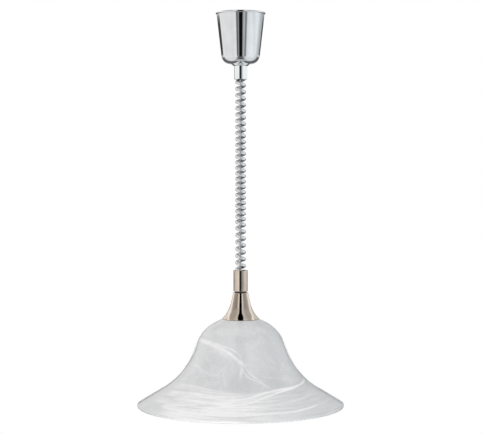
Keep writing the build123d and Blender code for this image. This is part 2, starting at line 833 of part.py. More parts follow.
# Nipple: a threaded tube with a side window where the cores go in
core_enter_z = lower_gland_foot_z - lower_core_bend
core_inside_x = lower_core_d
core_slope_height = lower_exit_radius - core_inside_x
window_top_z = boss_foot_z - loose_gap
window_foot_z = sleeve_floor_z + nipple_nut_height
with BuildPart() as nipple:
    with BuildSketch(Plane.XY.offset(nipple_foot_z)):
        Circle(nipple_r)
        Circle(nipple_bore_d / 2, mode=Mode.SUBTRACT)
    extrude(amount=anchor_floor_z - nipple_foot_z)
    with BuildSketch(Plane.YZ):
        with Locations((0, (window_top_z + window_foot_z) / 2)):
            RectangleRounded(nipple_window_width, window_top_z - window_foot_z, nipple_window_width / 3)
    extrude(amount=nipple_r, mode=Mode.SUBTRACT)
keep(nipple, "nipple")

with BuildPart() as nipple_nuts:
    for nut_foot_z in (sleeve_floor_z, cap_roof_z - nipple_nut_height):
        with BuildSketch(Plane.XY.offset(nut_foot_z)):
            RegularPolygon(radius=nipple_nut_flats / 2, side_count=6, major_radius=False)
            Circle(nipple_hole_r, mode=Mode.SUBTRACT)
        extrude(amount=nipple_nut_height)
keep(nipple_nuts, "nipple_nuts")

# Cores of the lamp: from the lower gland through the window and down the nipple's bore
with BuildPart() as lamp_cores:
    for place in (-1, 0, 1):
        core_y = place * lower_core_spacing
        with BuildLine() as lower_core_path:
            FilletPolyline(
                (lower_exit_radius, core_y, lower_gland_foot_z),
                (lower_exit_radius, core_y, core_enter_z),
                (core_inside_x, core_y, core_enter_z - core_slope_height),
                (core_inside_x, core_y, nipple_foot_z - lower_core_tail),
                radius=lower_core_bend,
            )
        with BuildSketch(Plane(lower_core_path.line @ 0, z_dir=lower_core_path.line % 0)):
            Circle(lower_core_d / 2)
        sweep(path=lower_core_path.wire())
keep(lamp_cores, "lamp_cores")

with BuildPart() as spacer_ring:
    with BuildSketch(Plane.XY.offset(spacer_foot_z)):
        Circle(spacer_d / 2)
        Circle(nipple_hole_r, mode=Mode.SUBTRACT)
    extrude(amount=spacer_height)
keep(spacer_ring, "spacer_ring")

# Cone cap: a spun cone that flares out over the neck of the glass
cap_slope = math.radians(cap_cone_angle)
cap_rim_slope = math.radians(cap_cone_angle + cap_flare_turn)
cap_flare_z = spacer_foot_z - cap_cone_height
cap_flare_r = cap_top_d / 2 + cap_cone_height * math.tan(cap_slope)
cap_rim_z = cap_flare_z - cap_flare_radius * (math.sin(cap_rim_slope) - math.sin(cap_slope))
with BuildPart() as cone_cap:
    with BuildSketch(Plane.XZ):
        with BuildLine():
            FilletPolyline(
                (nipple_hole_r, spacer_foot_z),
                (cap_top_d / 2, spacer_foot_z),
                (cap_flare_r, cap_flare_z),
                radius=cap_edge,
            )
            JernArc(
                (cap_flare_r, cap_flare_z),
                (math.sin(cap_slope), -math.cos(cap_slope)),
                cap_flare_radius,
                cap_flare_turn,
            )
            offset(amount=cap_wall, side=Side.RIGHT)
        make_face()
    revolve(axis=Axis.Z)
keep(cone_cap, "cone_cap")

# Glass bell: flat neck, sloping collar, round shoulder, straight waist and a long flare to the rim
glass_top_z = cap_rim_z - cap_wall * math.sin(cap_rim_slope)
glass_floor_z = glass_top_z - glass_wall
neck_flat_r = neck_flat_d / 2
shoulder_start_r = shoulder_start_d / 2
shoulder_start_z = glass_top_z - (shoulder_start_r - neck_flat_r) * math.tan(math.radians(neck_slope))
neck_dir = (math.cos(math.radians(neck_slope)), -math.sin(math.radians(neck_slope)))
brim_cos = math.cos(math.radians(brim_slope))
brim_sin = math.sin(math.radians(brim_slope))
lip_r = min(rim_round, 0.45 * glass_wall)
brim_end_r = shade_d / 2 + lip_r * (brim_cos + brim_sin - 1)
with BuildPart() as glass_shade:
    with BuildSketch(Plane.XZ):
        with BuildLine():
            FilletPolyline(
                (shade_hole_d / 2, glass_top_z),
                (neck_flat_r, glass_top_z),
                (shoulder_start_r, shoulder_start_z),
                radius=neck_edge,
            )
            shoulder = JernArc(
                (shoulder_start_r, shoulder_start_z), neck_dir, shoulder_radius, neck_slope - waist_slope
            )
            waist = PolarLine(shoulder @ 1, waist_length, -waist_slope)
            flare = JernArc(waist @ 1, waist % 1, flare_radius, waist_slope - brim_slope)
            PolarLine(flare @ 1, (brim_end_r - (flare @ 1).X) / brim_cos, -brim_slope)
            offset(amount=glass_wall, side=Side.RIGHT)
        make_face()
        rim_corners = vertices().sort_by(Axis.Y)[:2]
        fillet(rim_corners, radius=lip_r)
    revolve(axis=Axis.Z)
keep(glass_shade, "glass_shade")

# Lampholder: a domed top on the nipple and a skirt that the shade ring screws on to
holder_r = holder_d / 2
holder_bore_r = holder_r - holder_wall
neck_foot_z = holder_top_z - holder_neck_height
dome_foot_z = holder_top_z - holder_dome_height
dome_edge_z = neck_foot_z - holder_shoulder
dome_roof_z = nipple_foot_z
with BuildPart() as lampholder_dome:
    with BuildSketch(Plane.XZ):
        with BuildLine():
            FilletPolyline(
                (holder_neck_d / 2, holder_top_z),
                (holder_neck_d / 2, neck_foot_z),
                (holder_r, dome_edge_z),
                (holder_r, dome_foot_z),
                radius=[holder_wall, holder_dome_edge],
            )
            Polyline(
                (holder_r, dome_foot_z),
                (holder_bore_r, dome_foot_z),
                (holder_bore_r, dome_edge_z - holder_wall),
                (holder_neck_d / 2, dome_roof_z),
                (nipple_hole_r, dome_roof_z),
                (nipple_hole_r, holder_top_z),
                (holder_neck_d / 2, holder_top_z),
            )
        make_face()
    revolve(axis=Axis.Z)
keep(lampholder_dome, "lampholder_dome")

insert_r = holder_bore_r - loose_gap
insert_foot_z = dome_foot_z - insert_height
skirt_foot_z = dome_foot_z - holder_skirt_height
shell_r = shell_d / 2
skirt_bore_r = shell_r + loose_gap
mouth_z = skirt_foot_z + holder_mouth_depth
with BuildPart() as lampholder_skirt:
    with BuildSketch(Plane.XZ):
        with BuildLine():
            Polyline(
                (holder_r, dome_foot_z),
                (holder_r, skirt_foot_z),
                (holder_mouth_d / 2, skirt_foot_z),
                (holder_mouth_d / 2, mouth_z),
                (skirt_bore_r, mouth_z),
                (skirt_bore_r, insert_foot_z),
                (holder_bore_r, insert_foot_z),
                (holder_bore_r, dome_foot_z),
                close=True,
            )
        make_face()
    revolve(axis=Axis.Z)
keep(lampholder_skirt, "lampholder_skirt")

# Socket insert with a raised rib across its top, the screw shell under it and the sprung contact
with BuildPart() as socket_insert:
    with BuildSketch(Plane.XY.offset(insert_foot_z)):
        Circle(insert_r)
    extrude(amount=insert_height)
    with BuildSketch(Plane.XY.offset(dome_foot_z)):
        Rectangle(2 * contact_reach, contact_width)
    extrude(amount=insert_rib)
keep(socket_insert, "socket_insert")

with BuildPart() as screw_shell:
    with BuildSketch(Plane.XY.offset(insert_foot_z - shell_length)):
        Circle(shell_r)
        Circle(shell_r - shell_wall, mode=Mode.SUBTRACT)
    extrude(amount=shell_length)
keep(screw_shell, "screw_shell")

contact_tip_z = insert_foot_z - contact_drop
with BuildPart() as centre_contact:
    with BuildSketch(Plane.XZ):
        with BuildLine():
            Polyline(
                (-contact_reach, insert_foot_z),
                (0, insert_foot_z),
                (contact_reach / 2, insert_foot_z - contact_drop / 2),
                (-contact_reach / 4, contact_tip_z + contact_strip),
            )
            offset(amount=contact_strip, side=Side.RIGHT)
        make_face()
    extrude(amount=contact_width / 2, both=True)
keep(centre_contact, "centre_contact")

# Gasket under the glass and the threaded ring that clamps it against the cap
gasket_foot_z = glass_floor_z - gasket_thickness
ring_flange_z = gasket_foot_z - ring_flange
ring_bore_r = holder_r + loose_gap
with BuildPart() as shade_gasket:
    with BuildSketch(Plane.XY.offset(gasket_foot_z)):
        Circle(ring_d / 2 - gasket_inset)
        Circle(ring_collar_d / 2, mode=Mode.SUBTRACT)
    extrude(amount=gasket_thickness)
keep(shade_gasket, "shade_gasket")

with BuildPart() as shade_ring:
    with BuildSketch(Plane.XY.offset(ring_flange_z)):
        Circle(ring_d / 2)
    extrude(amount=ring_flange)
    with BuildSketch(Plane.XY.offset(ring_flange_z)):
        Circle(ring_collar_d / 2)
    extrude(amount=-ring_collar_height)
    fillet(shade_ring.edges().group_by(Axis.Z)[0], radius=ring_flange / 3)
    with BuildSketch(Plane.XY.offset(ring_flange_z)):
        with PolarLocations(ring_collar_d / 2, ring_notch_count):
            Circle(ring_notch_d / 2)
    extrude(amount=-ring_collar_height, mode=Mode.SUBTRACT)
    with Locations((0, 0, gasket_foot_z)):
        Hole(radius=ring_bore_r)
keep(shade_ring, "shade_ring")

# Bulb: contact, insulator and cap in the screw shell, and a round opal envelope below
bulb_top_z = contact_tip_z - soft_gap
bulb_insulator_z = bulb_top_z - bulb_contact_height
bulb_cap_z = bulb_insulator_z - bulb_insulator_height
bulb_cap_foot_z = bulb_cap_z - bulb_cap_length
bulb_cap_r = bulb_cap_d / 2
with BuildPart() as bulb_contact:
    with BuildSketch(Plane.XY.offset(bulb_insulator_z)):
        Circle(bulb_contact_d / 2)
    extrude(amount=bulb_contact_height)
    fillet(bulb_contact.edges().group_by(Axis.Z)[-1], radius=bulb_contact_height / 2)
keep(bulb_contact, "bulb_contact")

with BuildPart() as bulb_insulator:
    with BuildSketch(Plane.XZ):
        with BuildLine():
            Polyline(
                (0, bulb_insulator_z),
                (bulb_contact_d / 2, bulb_insulator_z),
                (bulb_cap_r - bulb_insulator_inset, bulb_cap_z),
                (0, bulb_cap_z),
                close=True,
            )
        make_face()
    revolve(axis=Axis.Z)
keep(bulb_insulator, "bulb_insulator")

with BuildPart() as bulb_cap:
    with BuildSketch(Plane.XY.offset(bulb_cap_foot_z)):
        Circle(bulb_cap_r)
    extrude(amount=bulb_cap_length)
    with BuildSketch(Plane.XY.offset(bulb_cap_foot_z)):
        Circle(bulb_cap_r - bulb_cap_wall)
    extrude(amount=bulb_cap_length - bulb_cap_wall, mode=Mode.SUBTRACT)
keep(bulb_cap, "bulb_cap")

# The envelope's sides are a cone that touches its ball end
ball_r = bulb_d / 2
ball_z = bulb_top_z - bulb_length + ball_r
bulb_neck_r = bulb_cap_r - bulb_cap_wall - loose_gap
bulb_neck_foot_z = bulb_cap_foot_z - loose_gap
neck_above_ball = bulb_neck_foot_z - ball_z
touch_angle = math.atan2(bulb_neck_r, neck_above_ball)
touch_angle += math.acos(ball_r / math.hypot(bulb_neck_r, neck_above_ball))
side_angle = (touch_angle + math.pi) / 2
neck_top = (bulb_neck_r, bulb_neck_foot_z + bulb_neck_inset)
neck_foot = (bulb_neck_r, bulb_neck_foot_z)
touch = (ball_r * math.sin(touch_angle), ball_z + ball_r * math.cos(touch_angle))
ball_side = (ball_r * math.sin(side_angle), ball_z + ball_r * math.cos(side_angle))
with BuildPart() as bulb_envelope:
    with BuildSketch(Plane.XZ):
        with BuildLine():
            Polyline(neck_top, neck_foot, touch)
            ThreePointArc(touch, ball_side, (0, ball_z - ball_r))
            offset(amount=bulb_glass, side=Side.RIGHT)
        make_face()
    revolve(axis=Axis.Z)
keep(bulb_envelope, "bulb_envelope")
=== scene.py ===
"""Looks of a rise-and-fall pendant lamp with a curly flex and a glass bell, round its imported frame."""

import json
import math

import bmesh
import bpy
import numpy as np
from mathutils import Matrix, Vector


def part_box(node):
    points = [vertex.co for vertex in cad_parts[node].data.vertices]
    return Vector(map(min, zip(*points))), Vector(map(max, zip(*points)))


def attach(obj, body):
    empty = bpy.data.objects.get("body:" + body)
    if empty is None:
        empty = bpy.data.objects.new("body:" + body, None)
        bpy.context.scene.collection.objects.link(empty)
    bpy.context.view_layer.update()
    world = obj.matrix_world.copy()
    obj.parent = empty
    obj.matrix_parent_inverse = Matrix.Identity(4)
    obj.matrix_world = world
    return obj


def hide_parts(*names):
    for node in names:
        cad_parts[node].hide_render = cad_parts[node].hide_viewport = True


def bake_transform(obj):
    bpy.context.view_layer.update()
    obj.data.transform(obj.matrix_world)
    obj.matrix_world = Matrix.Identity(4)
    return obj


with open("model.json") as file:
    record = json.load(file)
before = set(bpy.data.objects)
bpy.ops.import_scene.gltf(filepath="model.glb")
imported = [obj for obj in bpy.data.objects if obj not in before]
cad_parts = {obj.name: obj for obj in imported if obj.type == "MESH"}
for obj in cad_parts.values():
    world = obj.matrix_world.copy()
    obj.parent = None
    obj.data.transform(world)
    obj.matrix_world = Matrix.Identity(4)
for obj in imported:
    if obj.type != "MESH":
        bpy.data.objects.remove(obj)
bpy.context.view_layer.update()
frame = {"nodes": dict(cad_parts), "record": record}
scene = bpy.context.scene
nodes = frame["nodes"]
MM = 0.001

# Camera, fitted to the photograph's 482 by 434 pixel frame
image_width = 482
focal_pixels = 1411.5
horizon_row = 162.9
middle_row = 217.0
sensor_mm = 36.0
camera_distance = 2.724
camera_side = 0.0008
camera_height = -0.2893

# Curly cord, with the route of the CAD source
cord_d = 6.6 * MM
coil_r = 7.1 * MM
first_curl_z = -140.2 * MM
curl_pitch = 10.3625 * MM
top_stretch = 2.4 * MM
top_stretch_turns = 16.0
bottom_stretch = 2.9 * MM
bottom_stretch_start = 23.0
bottom_stretch_ramp = 1.5
first_turn = -2.0
last_turn = 30.75
top_ease = 0.5
top_lift = 7.5 * MM
lower_bend = ((3.3, -6.0, -499.8), (6.2, -3.6, -502.1), (8.2, -1.1, -505.0), (9.0, 0.0, -508.0))
points_per_turn = 16

# Pull rope and its turns on the drum
rope_d = 2.0 * MM
rope_strands = 6
rope_lay = 13.0 * MM
rope_turns = 3
rope_pitch = 2.5 * MM
drum_rope_r = 18.15 * MM
drum_z = -38.0 * MM

# Pitch of the bulb cap's thread
bulb_thread = 3.63 * MM

# Floor and lamps
floor_z = -1.62
floor_radius = 14.0
floor_fade = (1.6, 3.6)
floor_grey = 0.86
softbox_size = 1.6
light_aim = (0, 0, -0.6)


# Short calls for node trees
def put(tree, kind, inputs=None, **settings):
    """Adds a node, sets its properties and fills its inputs with values or links."""
    node = tree.nodes.new(kind)
    for name, value in settings.items():
        setattr(node, name, value)
    for socket, value in (inputs or {}).items():
        if isinstance(value, bpy.types.NodeSocket):
            tree.links.new(value, node.inputs[socket])
        else:
            node.inputs[socket].default_value = value
    return node


class Paint:
    """A node tree with the few nodes that the materials and the world are made of."""

    def __init__(self, tree):
        self.tree = tree

    def coords(self, output="Object"):
        return put(self.tree, "ShaderNodeTexCoord").outputs[output]

    def math(self, operation, a, b=0.0):
        return put(self.tree, "ShaderNodeMath", {0: a, 1: b}, operation=operation).outputs[0]

    def plus(self, a, b):
        return self.math("ADD", a, b)

    def minus(self, a, b):
        return self.math("SUBTRACT", a, b)

    def times(self, a, b):
        return self.math("MULTIPLY", a, b)

    def reach(self, x, y):
        """Distance from the upright axis."""
        return self.math("SQRT", self.plus(self.math("POWER", x, 2.0), self.math("POWER", y, 2.0)))

    def split(self, vector):
        return put(self.tree, "ShaderNodeSeparateXYZ", {0: vector}).outputs

    def join(self, x, y, z):
        return put(self.tree, "ShaderNodeCombineXYZ", {0: x, 1: y, 2: z}).outputs[0]

    def scaled(self, vector, scale):
        return put(self.tree, "ShaderNodeMapping", {"Vector": vector, "Scale": scale}).outputs[0]

    def noise(self, vector, scale, detail=3.0, rough=0.5, twist=0.0):
        inputs = {"Vector": vector, "Scale": scale, "Detail": detail,
                  "Roughness": rough, "Distortion": twist}
        return put(self.tree, "ShaderNodeTexNoise", inputs).outputs["Fac"]

    def span(self, value, low, high, to_low=0.0, to_high=1.0):
        """Value from low to high becomes a smooth step from to_low to to_high."""
        inputs = {"Value": value, 1: low, 2: high, 3: to_low, 4: to_high}
        node = put(self.tree, "ShaderNodeMapRange", inputs, interpolation_type="SMOOTHSTEP")
        return node.outputs[0]

    def band(self, value, middle, half, soft):
        """One inside a band about the middle, and nothing outside."""
        away = self.math("ABSOLUTE", self.minus(value, middle))
        return self.span(away, half - soft, half + soft, 1.0, 0.0)

    def mix(self, share, a, b):
        """Colours or numbers, mixed."""
        node = put(self.tree, "ShaderNodeMix", data_type="RGBA")
        for socket, value in ((0, share), (6, a), (7, b)):
            if isinstance(value, bpy.types.NodeSocket):
                self.tree.links.new(value, node.inputs[socket])
            elif socket == 0:
                node.inputs[socket].default_value = value
            else:
                node.inputs[socket].default_value = rgba(value)
        return node.outputs[2]

    def bump(self, height, strength, distance):
        inputs = {"Height": height, "Strength": strength, "Distance": distance}
        return put(self.tree, "ShaderNodeBump", inputs).outputs[0]

    def curve(self, value, points, sharp=False):
        """A curve drawn through the given points, from 0 to 1 both ways, smooth or with straight
        stretches.
        """
        node = put(self.tree, "ShaderNodeFloatCurve", {"Value": value})
        line = node.mapping.curves[0]
        line.points[0].location = points[0]
        line.points[1].location = points[-1]
        for spot in points[1:-1]:
            line.points.new(*spot)
        if sharp:
            for point in line.points:
                point.handle_type = "VECTOR"
        node.mapping.update()
        return node.outputs[0]


def rgba(value):
    """A grey number or a colour as four numbers."""
    if isinstance(value, (int, float)):
        return (value, value, value, 1.0)
    return (*value, 1.0)


class Surface(Paint):
    """A material with one principled shader, whose uniform values sit on its own sockets."""

    def __init__(self, name, **uniform):
        self.material = bpy.data.materials.new(name)
        self.material.use_nodes = True
        super().__init__(self.material.node_tree)
        self.shader = self.tree.nodes["Principled BSDF"]
        for socket, value in uniform.items():
            self.set(socket.replace("_", " ").title().replace("Ior", "IOR"), value)

    def set(self, socket, value):
        if isinstance(value, bpy.types.NodeSocket):
            self.tree.links.new(value, self.shader.inputs[socket])
        elif isinstance(value, tuple):
            self.shader.inputs[socket].default_value = rgba(value)
        else:
            self.shader.inputs[socket].default_value = value

    def shade(self, dark, light, share):
        self.set("Base Color", self.mix(share, dark, light))

    def vary(self, socket, value, low, high):
        self.set(socket, self.span(value, 0.25, 0.75, low, high))


# Materials
def turned_metal(name, dark, light, rough, line_bump):
    """Metal finished on a lathe: fine lines round the axis, soft clouds and small scratches."""
    paint = Surface(name, metallic=1.0)
    here = paint.coords()
    clouds = paint.noise(here, 38.0, 4.0, 0.6)
    lines = paint.noise(paint.scaled(here, (6.0, 6.0, 2600.0)), 1.0, 2.0, 0.7)
    specks = paint.noise(here, 900.0, 2.0)
    paint.shade(dark, light, paint.span(clouds, 0.3, 0.7))
    both = paint.plus(paint.times(clouds, 0.6), paint.times(lines, 0.4))
    paint.vary("Roughness", both, rough[0], rough[1])
    grain = paint.plus(lines, paint.times(specks, 0.15))
    paint.set("Normal", paint.bump(grain, line_bump, 0.02 * MM))
    return paint.material


def plated_steel(name, dark, light, rough, thread=None):
    """Zinc or like plating: mottled, with faint rolling marks, or with a thread of the pitch given."""
    paint = Surface(name, metallic=1.0)
    here = paint.coords()
    spangle = put(paint.tree, "ShaderNodeTexVoronoi", {"Vector": here, "Scale": 420.0}).outputs["Color"]
    stains = paint.noise(here, 160.0, 5.0, 0.65)
    mottle = paint.plus(paint.times(paint.split(spangle)[0], 0.45), paint.times(stains, 0.55))
    paint.shade(dark, light, mottle)
    paint.vary("Roughness", mottle, rough[0], rough[1])
    if thread:
        x, y, z = paint.split(here)
        climb = paint.plus(paint.times(z, 2 * math.pi / thread), paint.math("ARCTAN2", y, x))
        paint.set("Normal", paint.bump(paint.math("SINE", climb), 1.0, thread / 8))
    else:
        rolled = paint.noise(paint.scaled(here, (300.0, 2200.0, 2200.0)), 1.0, 3.0)
        paint.set("Normal", paint.bump(rolled, 0.12, 0.05 * MM))
    return paint.material


def moulded(name, dark, light, rough, grain=900.0, depth=0.15):
    """Moulded plastic: a slight colour flow and a fine spark-eroded grain."""
    paint = Surface(name)
    here = paint.coords()
    flow = paint.noise(here, 55.0, 3.0, 0.55, 0.6)
    pits = paint.noise(here, grain, 2.0)
    paint.shade(dark, light, paint.span(flow, 0.3, 0.7))
    paint.vary("Roughness", flow, rough[0], rough[1])
    paint.set("Normal", paint.bump(pits, depth, 0.05 * MM))
    return paint.material


def earth_wire(name):
    """Green insulation with a yellow stripe along it."""
    paint = Surface(name, roughness=0.35)
    here = paint.coords()
    stripe = paint.band(paint.split(here)[1], 0.0, 0.55 * MM, 0.05 * MM)
    tone = paint.noise(here, 500.0, 2.0)
    green = paint.mix(tone, (0.03, 0.22, 0.03), (0.05, 0.30, 0.05))
    paint.set("Base Color", paint.mix(stripe, green, (0.75, 0.62, 0.04)))
    paint.set("Normal", paint.bump(tone, 0.08, 0.05 * MM))
    return paint.material


def clear_cord(name):
    """Clear flex over a silvery braid, with painted shade on the inner side of the curls on their right.
    """
    paint = Surface(name, metallic=0.8, specular_tint=(0.03, 0.03, 0.03))
    wrap = {"Vector": paint.coords("UV"), "Scale": 3.0}
    weave = put(paint.tree, "ShaderNodeTexWave", wrap, bands_direction="DIAGONAL").outputs["Fac"]
    here = paint.coords()
    x, y = paint.split(here)[:2]
    tone = paint.noise(here, 260.0, 3.0)
    silver = paint.mix(paint.times(paint.plus(weave, tone), 0.5), (0.70, 0.71, 0.72), (0.92, 0.93, 0.94))
    # Painted shade: the inner side of each curl is grey on the right, where light falls less, and light on
    # the left
    painted_shade = paint.mix(paint.span(x, -1.0 * MM, 1.0 * MM), (0.92, 0.93, 0.94), (0.36, 0.37, 0.38))
    paint.shade(painted_shade, silver, paint.span(paint.reach(x, y), coil_r - 1.9 * MM, coil_r + 1.1 * MM))
    paint.vary("Roughness", tone, 0.26, 0.34)
    paint.set("Normal", paint.bump(weave, 0.15, 0.1 * MM))
    return paint.material


# Streaks drawn through the soft glass, as degrees from the front and millimetres below the ceiling
long_streak = ((-88, 630), (-50, 630), (-35, 634), (-24, 640), (-15, 647), (-7, 655), (-1, 662),
               (3, 668), (5, 674))
upper_edge = ((-88, 629), (-50, 628), (-36, 630), (-22, 635), (-9, 641), (-1, 650), (3, 659))
lower_edge = ((-60, 631), (-52, 633), (-38, 638), (-27, 645), (-18, 652), (-13, 658), (-7, 664))
upper_thread = ((-2, 649), (2, 661), (5, 669), (7, 676), (10, 683), (15, 690), (19, 697), (24, 705),
                (30, 714))
lower_thread = ((-6, 655), (-1, 664), (2, 674), (5, 683), (8, 690), (13, 693), (18, 698), (22, 705),
                (27, 714))
brim_streak = ((-60, 742), (-34, 735), (-22, 730), (-10, 727), (0, 724), (8, 721), (14, 717), (23, 714),
               (33, 712), (43, 711), (62, 709), (85, 704))
under_streak = ((-36, 745), (-24, 741), (-12, 735), (-3, 732), (4, 730), (10, 727), (15, 723), (22, 720),
                (28, 717), (42, 713), (61, 710))
brim_glow = ((-30, 739), (-20, 735), (-3, 728), (8, 724), (15, 720), (23, 717), (33, 714), (45, 711))
rim_streak = ((-60, 743), (-44, 744), (-33, 745), (-17, 747), (0, 747), (16, 745), (38, 744), (60, 740))
left_arc = ((-66, 678), (-54, 675), (-45, 680), (-35, 684), (-26, 686), (-23, 683), (-20, 676), (-12, 661))
upper_layer = ((-83, 716), (-43, 710), (-25, 713), (-3, 715), (14, 714))
middle_layer = ((-76, 726), (-39, 721), (-15, 721), (2, 719))
lower_layer = ((-77, 738), (-56, 736), (-39, 732), (-23, 726))
right_layer = ((10, 728), (14, 730), (21, 734), (29, 732), (45, 729), (70, 724))
foot_layer = ((5, 734), (11, 738), (17, 740), (25, 740), (40, 739), (60, 735))
hanging_wisp = ((2, 663), (2, 670), (1, 677), (0, 684), (0, 690), (-1, 697))
hanging_loop = ((-9, 657), (-12, 661), (-15, 669), (-17, 676), (-17, 683), (-16, 690), (-14, 697),
                (-12, 709))
left_loop = ((-51, 637), (-51, 646), (-54, 655), (-54, 663), (-52, 671))
right_wisp = ((20, 632), (35, 652), (39, 680), (30, 696))
neck_glow = ((-60, 602), (-20, 603), (10, 603), (50, 602))
shade_low = 762.0
shade_span = 180.0


def alabaster(name):
    """Satin alabaster glass: cool grey-white, with white streaks drawn through it while soft."""
    paint = Surface(name, coat_weight=1.0, coat_roughness=0.1, specular_ior_level=0.35)
    here = paint.coords()
    x, y, z = paint.split(here)
    turn = paint.math("ARCTAN2", x, paint.math("ABSOLUTE", y))
    around = paint.plus(paint.times(turn, 1 / math.pi), 0.5)
    height = paint.math("DIVIDE", paint.plus(z, shade_low * MM), shade_span * MM)
    warp = paint.minus(paint.noise(here, 26.0, 3.0), 0.5)
    level = paint.plus(height, paint.times(warp, 0.012))

    def places(points, upright):
        spots = [(angle / 180 + 0.5, (shade_low - drop) / shade_span) for angle, drop in points]
        return sorted((b, a) for a, b in spots) if upright else spots

    def streak(points, wide, narrow, share, fade=0.05, upright=False, fibres=0.6):
        """A streak of fine threads along a curve, from wide to narrow, that fades at its ends."""
        along, across = (level, around) if upright else (around, level)
        spots = places(points, upright)
        first, last = spots[0][0], spots[-1][0]
        off = paint.minus(across, paint.curve(along, spots))
        half = paint.span(along, first, last, wide / shade_span, narrow / shade_span)
        aside = paint.math("DIVIDE", paint.math("ABSOLUTE", off), half)
        body = paint.span(aside, 0.25, 1.0, 1.0, 0.0)
        grain = paint.join(paint.times(along, 5.0), paint.times(off, 65.0), wide)
        threads = paint.span(paint.noise(grain, 1.0, 3.0, 0.6), 0.40, 0.58, share * (1 - fibres), share)
        start = paint.span(along, first, first + fade)
        end = paint.span(along, last - fade, last, 1.0, 0.0)
        return paint.times(paint.times(body, paint.times(start, end)), threads)

    streaks = [
        streak(long_streak, 5.5, 8.0, 0.55, fade=0.02),
        streak(upper_edge, 2.4, 1.8, 0.5, fade=0.02, fibres=0.5),
        streak(lower_edge, 1.8, 2.4, 0.4, fade=0.06, fibres=0.5),
        streak(upper_thread, 2.4, 1.6, 0.55, fade=0.03, fibres=0.3),
        streak(lower_thread, 2.4, 1.6, 0.45, fade=0.03, fibres=0.3),
        streak(brim_streak, 3.4, 2.4, 1.0, fibres=0.3),
        streak(under_streak, 2.8, 2.2, 1.0, fibres=0.3),
        streak(brim_glow, 8.0, 3.0, 0.65),
        streak(rim_streak, 2.6, 2.2, 1.0, fibres=0.3),
        streak(left_arc, 5.0, 4.0, 0.3),
        streak(upper_layer, 7.0, 4.0, 0.65, fade=0.14),
        streak(middle_layer, 7.0, 4.0, 1.0, fade=0.1, fibres=0.5),
        streak(lower_layer, 6.0, 4.0, 0.7, fade=0.08),
        streak(right_layer, 3.4, 3.0, 0.6),
        streak(foot_layer, 2.4, 2.4, 0.4),
        streak(hanging_wisp, 2.4, 3.4, 0.5, fade=0.1, upright=True),
        streak(hanging_loop, 2.0, 2.4, 0.22, upright=True),
        streak(left_loop, 3.0, 4.0, 0.1, upright=True),
        streak(right_wisp, 9.0, 9.0, 0.14, fade=0.2, upright=True),
        streak(neck_glow, 22.0, 22.0, 0.28, fade=0.25, fibres=0.1),
    ]
    white = streaks[0]
    for other in streaks[1:]:
        white = paint.math("MAXIMUM", white, other)
    sheet = paint.join(paint.times(around, 5.0), paint.times(level, 48.0), 0.0)
    layers = paint.span(paint.noise(sheet, 1.0, 3.0, 0.6), 0.36, 0.6, 0.35, 1.0)
    brim = paint.times(paint.span(level, 0.30, 0.20), paint.span(around, 0.75, 0.45, 0.35, 1.0))
    brim = paint.times(brim, paint.span(around, 0.14, 0.28))
    white = paint.math("MAXIMUM", white, paint.times(layers, brim))
    veil = paint.noise(paint.scaled(here, (16.0, 16.0, 30.0)), 1.0, 5.0, 0.62, 1.6)
    white = paint.math("MAXIMUM", white, paint.span(veil, 0.45, 0.75, 0.0, 0.28))
    fuzz = paint.noise(paint.scaled(here, (70.0, 70.0, 110.0)), 1.0, 3.0, 0.6, 2.0)
    white = paint.plus(white, paint.span(fuzz, 0.4, 0.7, -0.05, 0.12))
    clouds = paint.noise(here, 14.0, 4.0, 0.6, 1.2)
    base = paint.mix(paint.span(clouds, 0.3, 0.7), (0.605, 0.61, 0.62), (0.66, 0.66, 0.665))
    paint.set("Base Color", paint.mix(white, base, (0.95, 0.935, 0.935)))
    paint.vary("Roughness", clouds, 0.38, 0.5)
    paint.set("Normal", paint.bump(paint.noise(here, 30.0, 2.0), 0.1, 1.0 * MM))
    return paint.material


def opal(name):
    """The bulb's opal glass."""
    paint = Surface(name, coat_weight=0.6, coat_roughness=0.05)
    here = paint.coords()
    haze = paint.noise(here, 60.0, 3.0)
    paint.shade((0.86, 0.85, 0.82), (0.92, 0.91, 0.88), haze)
    paint.vary("Roughness", haze, 0.12, 0.2)
    return paint.material


